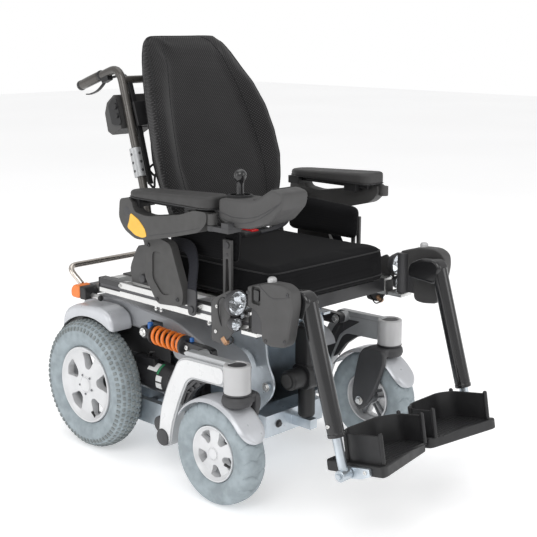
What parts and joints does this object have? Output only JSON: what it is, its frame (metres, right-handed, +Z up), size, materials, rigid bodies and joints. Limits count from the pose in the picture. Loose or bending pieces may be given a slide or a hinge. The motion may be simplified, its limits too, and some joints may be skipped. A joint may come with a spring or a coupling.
{
  "type": "power wheelchair",
  "caption": "Rear-wheel-drive power wheelchair with sprung front casters, tilting seat, reclining back, flip-up armrests, joystick pod and swing-away legrests.",
  "frame": {"origin": "on the floor, under the middle of the chair's bounding box", "axes": "+X to the user's left, +Y to the rear, +Z up; the user faces -Y"},
  "size_m": [0.662, 1.161, 1.1138],
  "materials": {
    "tyre": "pale grey-blue rubber, matt, moulded tread",
    "rim": "silver-white wheel paint, satin",
    "white_paint": "white powder coat, smooth gloss",
    "silver_paint": "silver lacquered moulding, satin",
    "black_metal": "black powder coat, semi-gloss",
    "zinc": "zinc plated steel, faint blue",
    "aluminium": "natural anodised, fine satin",
    "nickel": "warm nickel plating, polished",
    "black_plastic": "black moulded plastic, fine grain",
    "grey_plastic": "dark grey moulded plastic, fine grain",
    "orange_paint": "orange powder coat, satin",
    "pad_foam": "integral skin foam, matt",
    "fabric": "black upholstery fabric, fine knit",
    "mesh_fabric": "charcoal spacer mesh with a diagonal pattern",
    "webbing": "dark webbing, ribbed",
    "lamp": "clear lens over a bright reflector"
  },
  "bodies": {
    "base": {"chassis_frame": "zinc", "battery_pack": "black_plastic", "base_cover": "silver_paint", "seat_tower": "zinc", "fender_right": "silver_paint", "fender_left": "silver_paint", "drive_motor_right": "black_metal", "drive_motor_left": "black_metal"},
    "seat": {"seat_frame": "aluminium", "rear_cross_beam": "black_metal", "rear_guard_bar": "nickel", "seat_cushion": "fabric", "lap_belt": "webbing", "armrest_post_right": "grey_plastic", "armrest_post_left": "grey_plastic", "side_pad_right": "fabric", "side_pad_left": "fabric", "headlamp_right": "lamp", "headlamp_left": "lamp"},
    "tilt_actuator_housing": {"tilt_actuator_housing": "black_plastic"},
    "tilt_actuator_rod": {"tilt_actuator_rod": "aluminium"},
    "backrest": {"back_frame": "black_metal", "back_shell": "black_plastic", "back_cushion": "mesh_fabric", "control_module": "grey_plastic"},
    "joystick_pod": {"joystick_pod": "black_plastic"},
    "joystick_gimbal": {"joystick_gimbal": "aluminium"},
    "joystick_stick": {"joystick_stick": "black_plastic"},
    "drive_wheel_right": {"drive_rim_right": "rim", "drive_tyre_right": "tyre"},
    "caster_arm_right": {"caster_arm_right": "white_paint"},
    "shock_body_right": {"shock_body_right": "black_metal", "shock_spring_right": "orange_paint"},
    "shock_rod_right": {"shock_rod_right": "black_metal"},
    "caster_fork_right": {"caster_fork_right": "black_metal"},
    "caster_wheel_right": {"caster_rim_right": "rim", "caster_tyre_right": "tyre"},
    "armrest_right": {"armrest_arm_right": "grey_plastic", "armrest_pad_right": "pad_foam"},
    "legrest_housing_right": {"legrest_housing_right": "grey_plastic"},
    "release_button_right": {"release_button_right": "aluminium"},
    "legrest_tube_right": {"legrest_tube_right": "black_metal"},
    "legrest_rod_right": {"legrest_rod_right": "zinc"},
    "footplate_right": {"footplate_right": "black_plastic"},
    "drive_wheel_left": {"drive_rim_left": "rim", "drive_tyre_left": "tyre"},
    "caster_arm_left": {"caster_arm_left": "white_paint"},
    "shock_body_left": {"shock_body_left": "black_metal", "shock_spring_left": "orange_paint"},
    "shock_rod_left": {"shock_rod_left": "black_metal"},
    "caster_fork_left": {"caster_fork_left": "black_metal"},
    "caster_wheel_left": {"caster_rim_left": "rim", "caster_tyre_left": "tyre"},
    "armrest_left": {"armrest_arm_left": "grey_plastic", "armrest_pad_left": "pad_foam"},
    "legrest_housing_left": {"legrest_housing_left": "grey_plastic"},
    "release_button_left": {"release_button_left": "aluminium"},
    "legrest_tube_left": {"legrest_tube_left": "black_metal"},
    "legrest_rod_left": {"legrest_rod_left": "zinc"},
    "footplate_left": {"footplate_left": "black_plastic"}
  },
  "joints": [
    {"name": "seat_tilt", "type": "hinge", "parent": "base", "child": "seat", "pos_m": [0, 0.45165, 0.425], "axis": [-1, 0, 0], "range_deg": [0, 20]},
    {"name": "tilt_actuator_swing", "type": "hinge", "parent": "base", "child": "tilt_actuator_housing", "pos_m": [0, -0.14835, 0.16], "axis": [-1, 0, 0], "range_deg": [0, 5]},
    {"name": "tilt_actuator_stroke", "type": "slide", "parent": "tilt_actuator_housing", "child": "tilt_actuator_rod", "axis": [0, 0, 1], "range_m": [0, 0.21]},
    {"name": "back_recline", "type": "hinge", "parent": "seat", "child": "backrest", "pos_m": [0, 0.19165, 0.5], "axis": [-1, 0, 0], "range_deg": [-10, 30]},
    {"name": "joystick_swing_away", "type": "hinge", "parent": "armrest_right", "child": "joystick_pod", "pos_m": [-0.313, -0.13635, 0.69], "axis": [0, 0, -1], "range_deg": [0, 45]},
    {"name": "joystick_fore_aft", "type": "hinge", "parent": "joystick_pod", "child": "joystick_gimbal", "pos_m": [-0.262, -0.17535, 0.738], "axis": [1, 0, 0], "range_deg": [-20, 20], "stiffness_Nm_per_rad": 0.2},
    {"name": "joystick_side", "type": "hinge", "parent": "joystick_gimbal", "child": "joystick_stick", "pos_m": [-0.262, -0.17535, 0.738], "axis": [0, 1, 0], "range_deg": [-20, 20], "stiffness_Nm_per_rad": 0.2},
    {"name": "drive_wheel_spin_right", "type": "hinge", "parent": "base", "child": "drive_wheel_right", "pos_m": [-0.275, 0.39165, 0.178], "axis": [1, 0, 0], "continuous": true},
    {"name": "caster_arm_pivot_right", "type": "hinge", "parent": "base", "child": "caster_arm_right", "pos_m": [-0.287, 0.06465, 0.116], "axis": [1, 0, 0], "range_deg": [-7, 2], "stiffness_Nm_per_rad": 3000, "springref_deg": 1.43},
    {"name": "shock_swing_right", "type": "hinge", "parent": "base", "child": "shock_body_right", "pos_m": [-0.24, 0.20165, 0.354], "axis": [1, 0, 0], "range_deg": [-3.2, 1.2]},
    {"name": "shock_stroke_right", "type": "slide", "parent": "shock_body_right", "child": "shock_rod_right", "axis": [0, 0.9995, 0.0324], "range_m": [-0.009, 0.031], "deforming": ["shock_spring_right"]},
    {"name": "caster_swivel_right", "type": "hinge", "parent": "caster_arm_right", "child": "caster_fork_right", "pos_m": [-0.287, -0.18935, 0.3], "axis": [0, 0, 1], "continuous": true},
    {"name": "caster_wheel_spin_right", "type": "hinge", "parent": "caster_fork_right", "child": "caster_wheel_right", "pos_m": [-0.29, -0.13335, 0.13], "axis": [1, 0, 0], "continuous": true},
    {"name": "armrest_flip_right", "type": "hinge", "parent": "seat", "child": "armrest_right", "pos_m": [-0.3, 0.14365, 0.654], "axis": [-1, 0, 0], "range_deg": [0, 90]},
    {"name": "legrest_swing_right", "type": "hinge", "parent": "seat", "child": "legrest_housing_right", "pos_m": [-0.268, -0.24235, 0.5], "axis": [0, 0, -1], "range_deg": [0, 90]},
    {"name": "release_button_press_right", "type": "slide", "parent": "legrest_housing_right", "child": "release_button_right", "axis": [0, 0, -1], "range_m": [0, 0.004], "stiffness_N_per_m": 800},
    {"name": "legrest_elevate_right", "type": "hinge", "parent": "legrest_housing_right", "child": "legrest_tube_right", "pos_m": [-0.258, -0.30835, 0.52], "axis": [-1, 0, 0], "range_deg": [0, 60]},
    {"name": "legrest_length_right", "type": "slide", "parent": "legrest_tube_right", "child": "legrest_rod_right", "axis": [0, -0.2873, -0.9578], "range_m": [-0.05, 0.06]},
    {"name": "footplate_angle_right", "type": "hinge", "parent": "legrest_rod_right", "child": "footplate_right", "pos_m": [-0.244, -0.48735, 0.162], "axis": [1, 0, 0], "range_deg": [-15, 15]},
    {"name": "drive_wheel_spin_left", "type": "hinge", "parent": "base", "child": "drive_wheel_left", "pos_m": [0.275, 0.39165, 0.178], "axis": [1, 0, 0], "continuous": true},
    {"name": "caster_arm_pivot_left", "type": "hinge", "parent": "base", "child": "caster_arm_left", "pos_m": [0.287, 0.06465, 0.116], "axis": [1, 0, 0], "range_deg": [-7, 2], "stiffness_Nm_per_rad": 3000, "springref_deg": 1.43},
    {"name": "shock_swing_left", "type": "hinge", "parent": "base", "child": "shock_body_left", "pos_m": [0.24, 0.20165, 0.354], "axis": [1, 0, 0], "range_deg": [-3.2, 1.2]},
    {"name": "shock_stroke_left", "type": "slide", "parent": "shock_body_left", "child": "shock_rod_left", "axis": [0, 0.9995, 0.0324], "range_m": [-0.009, 0.031], "deforming": ["shock_spring_left"]},
    {"name": "caster_swivel_left", "type": "hinge", "parent": "caster_arm_left", "child": "caster_fork_left", "pos_m": [0.287, -0.18935, 0.3], "axis": [0, 0, 1], "continuous": true},
    {"name": "caster_wheel_spin_left", "type": "hinge", "parent": "caster_fork_left", "child": "caster_wheel_left", "pos_m": [0.29, -0.13335, 0.13], "axis": [1, 0, 0], "continuous": true},
    {"name": "armrest_flip_left", "type": "hinge", "parent": "seat", "child": "armrest_left", "pos_m": [0.3, 0.14365, 0.654], "axis": [-1, 0, 0], "range_deg": [0, 90]},
    {"name": "legrest_swing_left", "type": "hinge", "parent": "seat", "child": "legrest_housing_left", "pos_m": [0.268, -0.24235, 0.5], "axis": [0, 0, 1], "range_deg": [0, 90]},
    {"name": "release_button_press_left", "type": "slide", "parent": "legrest_housing_left", "child": "release_button_left", "axis": [0, 0, -1], "range_m": [0, 0.004], "stiffness_N_per_m": 800},
    {"name": "legrest_elevate_left", "type": "hinge", "parent": "legrest_housing_left", "child": "legrest_tube_left", "pos_m": [0.258, -0.30835, 0.52], "axis": [-1, 0, 0], "range_deg": [0, 60]},
    {"name": "legrest_length_left", "type": "slide", "parent": "legrest_tube_left", "child": "legrest_rod_left", "axis": [0, -0.2873, -0.9578], "range_m": [-0.05, 0.06]},
    {"name": "footplate_angle_left", "type": "hinge", "parent": "legrest_rod_left", "child": "footplate_left", "pos_m": [0.244, -0.48735, 0.162], "axis": [1, 0, 0], "range_deg": [-15, 15]}
  ],
  "couplings": [
    {"joint": "tilt_actuator_swing", "follows": "seat_tilt", "ratio": 0.22},
    {"joint": "tilt_actuator_stroke", "follows": "seat_tilt", "m_per_rad": 0.592},
    {"joint": "shock_swing_right", "follows": "caster_arm_pivot_right", "ratio": 0.4147},
    {"joint": "shock_stroke_right", "follows": "caster_arm_pivot_right", "m_per_rad": -0.2334},
    {"joint": "shock_swing_left", "follows": "caster_arm_pivot_left", "ratio": 0.4147},
    {"joint": "shock_stroke_left", "follows": "caster_arm_pivot_left", "m_per_rad": -0.2334}
  ]
}
